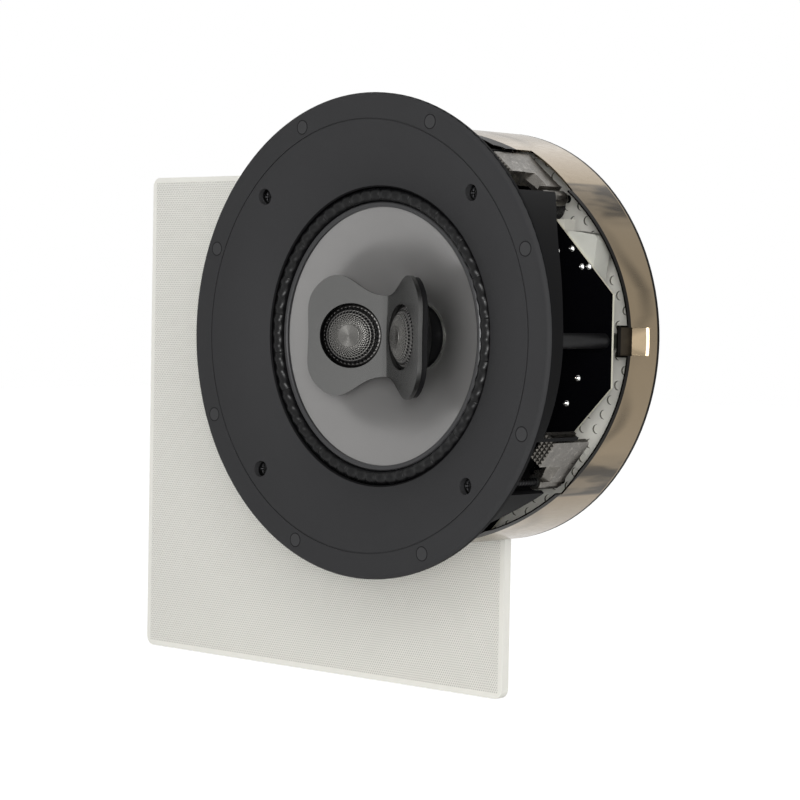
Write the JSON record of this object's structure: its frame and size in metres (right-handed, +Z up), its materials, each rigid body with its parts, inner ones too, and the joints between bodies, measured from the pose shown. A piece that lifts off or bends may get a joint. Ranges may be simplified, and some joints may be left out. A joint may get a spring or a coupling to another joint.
{
  "type": "in-ceiling loudspeaker",
  "caption": "Round flush-mount loudspeaker with twin-lobe tweeter pod, ridged-surround woofer, swing-out clamps, open chassis, metal rear can and a square grille set apart.",
  "frame": {"origin": "centre of the flange's rear seating face, on the speaker's axis", "axes": "-Y towards the listener, +Y back into the ceiling void, +Z up in the picture's pose"},
  "size_m": [0.458, 0.133, 0.3596],
  "materials": {
    "frame_plastic": "matte charcoal",
    "black_plastic": "satin black",
    "pod_paint": "satin grey",
    "rubber": "satin",
    "trim_grey": "satin",
    "cone_poly": "satin grey",
    "lens_metal": "turned",
    "silk": "soft",
    "dark_steel": "black oxide",
    "zinc_steel": "zinc plated",
    "ferrite": "dull",
    "die_cast": "as cast",
    "board_black": "solder mask",
    "solder": "bright",
    "film_white": "satin",
    "coil_copper": "enamelled",
    "cap_black": "gloss",
    "resistor_white": "matt",
    "can_steel": "polished",
    "cream_paint": "satin",
    "grille_paint": "matt",
    "magnet_grey": "coated"
  },
  "bodies": {
    "chassis": {"front_frame": "frame_plastic", "grille_magnets": "magnet_grey", "basket": "dark_steel", "woofer_screws": "dark_steel", "top_plate": "zinc_steel", "woofer_magnet": "ferrite", "yoke_with_pole": "zinc_steel", "surround": "rubber", "spider": "silk", "pod_faceplate": "pod_paint", "pod_shell": "black_plastic", "pod_post": "black_plastic", "tweeter_lens_left": "lens_metal", "tweeter_lens_right": "lens_metal", "tweeter_dome_left": "silk", "tweeter_dome_right": "silk", "tweeter_motor_left": "zinc_steel", "tweeter_motor_right": "zinc_steel", "crossover_board": "board_black", "board_posts": "black_plastic", "rear_spacers": "black_plastic", "rear_screws": "dark_steel", "solder_joints": "solder", "film_capacitor": "film_white", "crossover_coil": "coil_copper", "small_capacitors": "cap_black", "resistors": "resistor_white", "terminal_block": "cap_black", "rear_can": "can_steel", "rear_plate": "cream_paint", "grille": "grille_paint"},
    "cone_body": {"cone": "cone_poly", "trim_ring": "trim_grey", "voice_coil_former": "film_white", "voice_coil": "coil_copper"},
    "screw_1": {"clamp_screw_1": "dark_steel"},
    "nut_1": {"clamp_nut_1": "zinc_steel"},
    "dog_1": {"clamp_dog_1": "die_cast"},
    "screw_2": {"clamp_screw_2": "dark_steel"},
    "nut_2": {"clamp_nut_2": "zinc_steel"},
    "dog_2": {"clamp_dog_2": "die_cast"},
    "screw_3": {"clamp_screw_3": "dark_steel"},
    "nut_3": {"clamp_nut_3": "zinc_steel"},
    "dog_3": {"clamp_dog_3": "die_cast"},
    "screw_4": {"clamp_screw_4": "dark_steel"},
    "nut_4": {"clamp_nut_4": "zinc_steel"},
    "dog_4": {"clamp_dog_4": "die_cast"}
  },
  "joints": [
    {"name": "cone_stroke", "type": "slide", "parent": "chassis", "child": "cone_body", "axis": [0, -1, 0], "range_m": [-0.004, 0.004], "stiffness_N_per_m": 2000, "deforming": ["surround", "spider"]},
    {"name": "screw_1_turn", "type": "hinge", "parent": "chassis", "child": "screw_1", "pos_m": [0.0804, 0, 0.0804], "axis": [0, 1, 0], "range_deg": [0, 4321]},
    {"name": "nut_1_travel", "type": "slide", "parent": "chassis", "child": "nut_1", "axis": [0, -1, 0], "range_m": [0, 0.03]},
    {"name": "dog_1_swing", "type": "hinge", "parent": "nut_1", "child": "dog_1", "pos_m": [0.0804, 0, 0.0804], "axis": [0, 1, 0], "range_deg": [0, 58]},
    {"name": "screw_2_turn", "type": "hinge", "parent": "chassis", "child": "screw_2", "pos_m": [-0.0804, 0, 0.0804], "axis": [0, 1, 0], "range_deg": [0, 4321]},
    {"name": "nut_2_travel", "type": "slide", "parent": "chassis", "child": "nut_2", "axis": [0, -1, 0], "range_m": [0, 0.03]},
    {"name": "dog_2_swing", "type": "hinge", "parent": "nut_2", "child": "dog_2", "pos_m": [-0.0804, 0, 0.0804], "axis": [0, 1, 0], "range_deg": [0, 58]},
    {"name": "screw_3_turn", "type": "hinge", "parent": "chassis", "child": "screw_3", "pos_m": [-0.0804, 0, -0.0804], "axis": [0, 1, 0], "range_deg": [0, 4321]},
    {"name": "nut_3_travel", "type": "slide", "parent": "chassis", "child": "nut_3", "axis": [0, -1, 0], "range_m": [0, 0.03]},
    {"name": "dog_3_swing", "type": "hinge", "parent": "nut_3", "child": "dog_3", "pos_m": [-0.0804, 0, -0.0804], "axis": [0, 1, 0], "range_deg": [0, 58]},
    {"name": "screw_4_turn", "type": "hinge", "parent": "chassis", "child": "screw_4", "pos_m": [0.0804, 0, -0.0804], "axis": [0, 1, 0], "range_deg": [0, 4321]},
    {"name": "nut_4_travel", "type": "slide", "parent": "chassis", "child": "nut_4", "axis": [0, -1, 0], "range_m": [0, 0.03]},
    {"name": "dog_4_swing", "type": "hinge", "parent": "nut_4", "child": "dog_4", "pos_m": [0.0804, 0, -0.0804], "axis": [0, 1, 0], "range_deg": [0, 58]}
  ],
  "couplings": [
    {"joint": "screw_1_turn", "follows": "nut_1_travel", "rad_per_m": 2513.3},
    {"joint": "screw_2_turn", "follows": "nut_2_travel", "rad_per_m": 2513.3},
    {"joint": "screw_3_turn", "follows": "nut_3_travel", "rad_per_m": 2513.3},
    {"joint": "screw_4_turn", "follows": "nut_4_travel", "rad_per_m": 2513.3}
  ]
}
